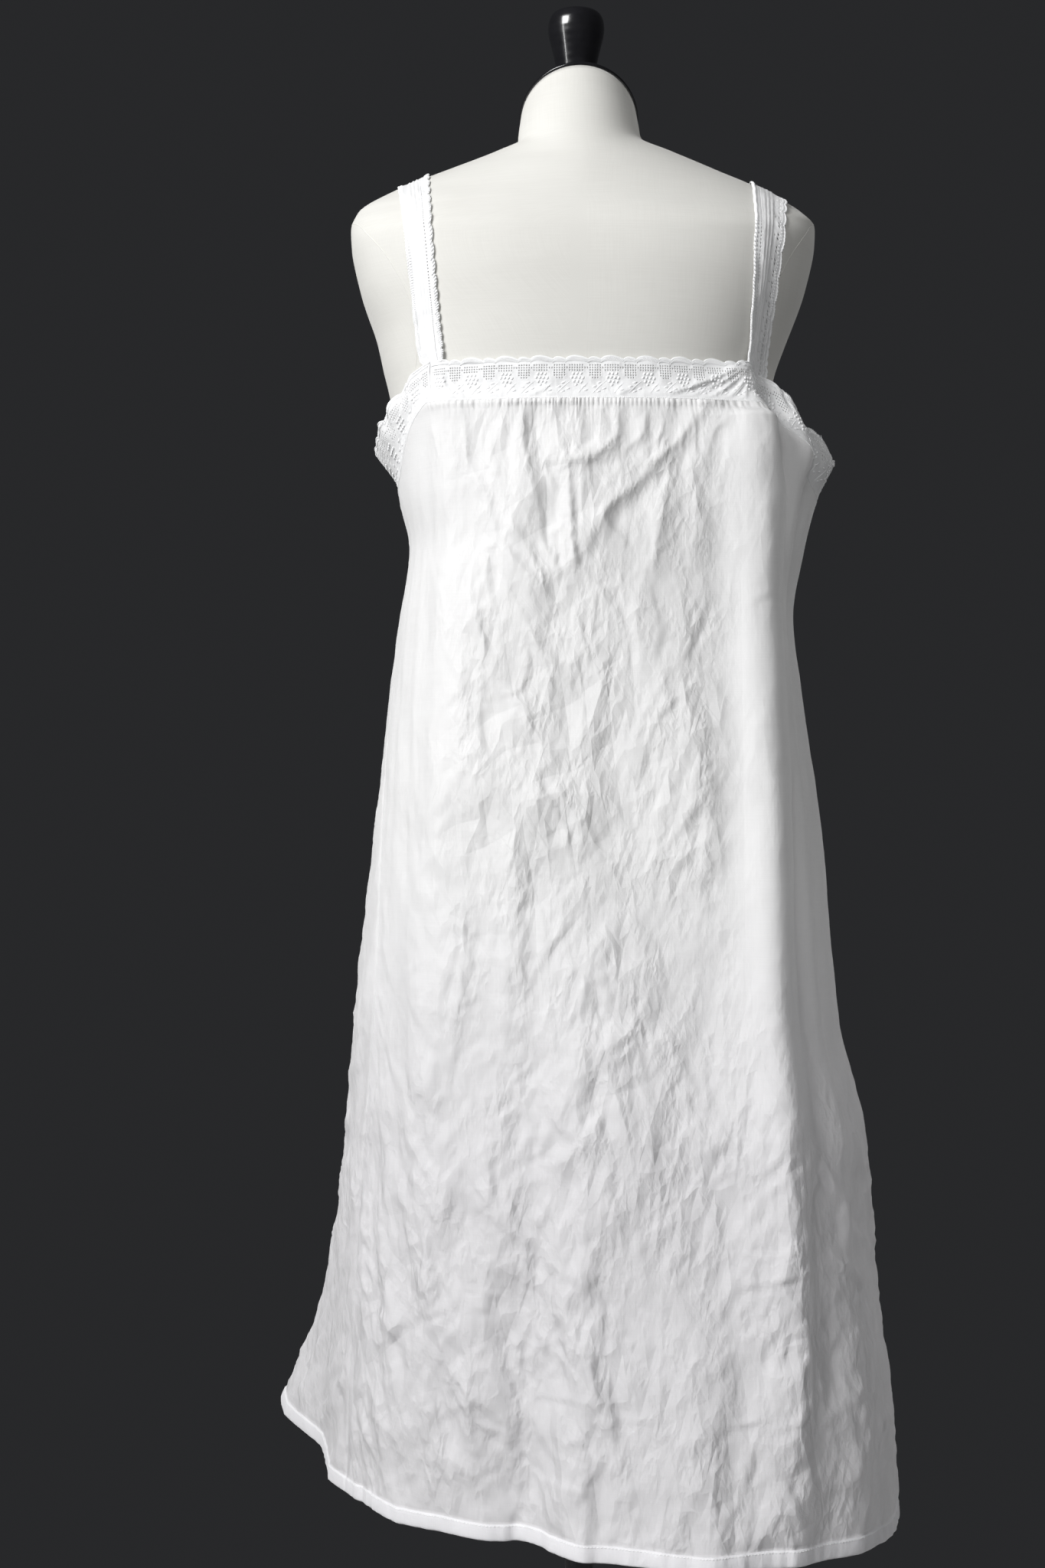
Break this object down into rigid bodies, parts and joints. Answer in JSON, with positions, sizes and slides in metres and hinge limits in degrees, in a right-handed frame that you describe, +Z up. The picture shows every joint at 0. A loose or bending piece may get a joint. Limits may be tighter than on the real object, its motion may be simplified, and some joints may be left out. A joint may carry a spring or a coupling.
{
  "type": "linen dress on a dress form",
  "caption": "Sleeveless white linen dress with gathered panels and scalloped lace edging, worn by a limbless dress form on a pole and a round base.",
  "frame": {"origin": "on the floor, on the axis of the pole, at the middle of the base's underside", "axes": "+Z up, +Y towards the front of the wearer, +X towards the right of the wearer; the back of the dress, which the picture shows, faces -Y"},
  "size_m": [0.5657, 0.5311, 1.596],
  "materials": {
    "white_linen": "fine plain-woven white linen, creased, translucent at single layers",
    "white_lace": "white machine-embroidered openwork edging with raised satin stitches and scallops",
    "form_canvas": "ivory plain-woven cover stretched over the form",
    "black_lacquer": "turned wood under black gloss lacquer",
    "stand_metal": "satin black"
  },
  "bodies": {
    "root": {"skirt_back": "white_linen", "skirt_front": "white_linen", "band_back": "white_lace", "band_front": "white_lace", "armhole_left": "white_lace", "armhole_right": "white_lace", "strap_left": "white_lace", "strap_right": "white_lace", "form_torso": "form_canvas", "neck_cap": "black_lacquer", "neck_knob": "black_lacquer", "stand_pole": "stand_metal", "stand_base": "stand_metal"}
  },
  "joints": []
}
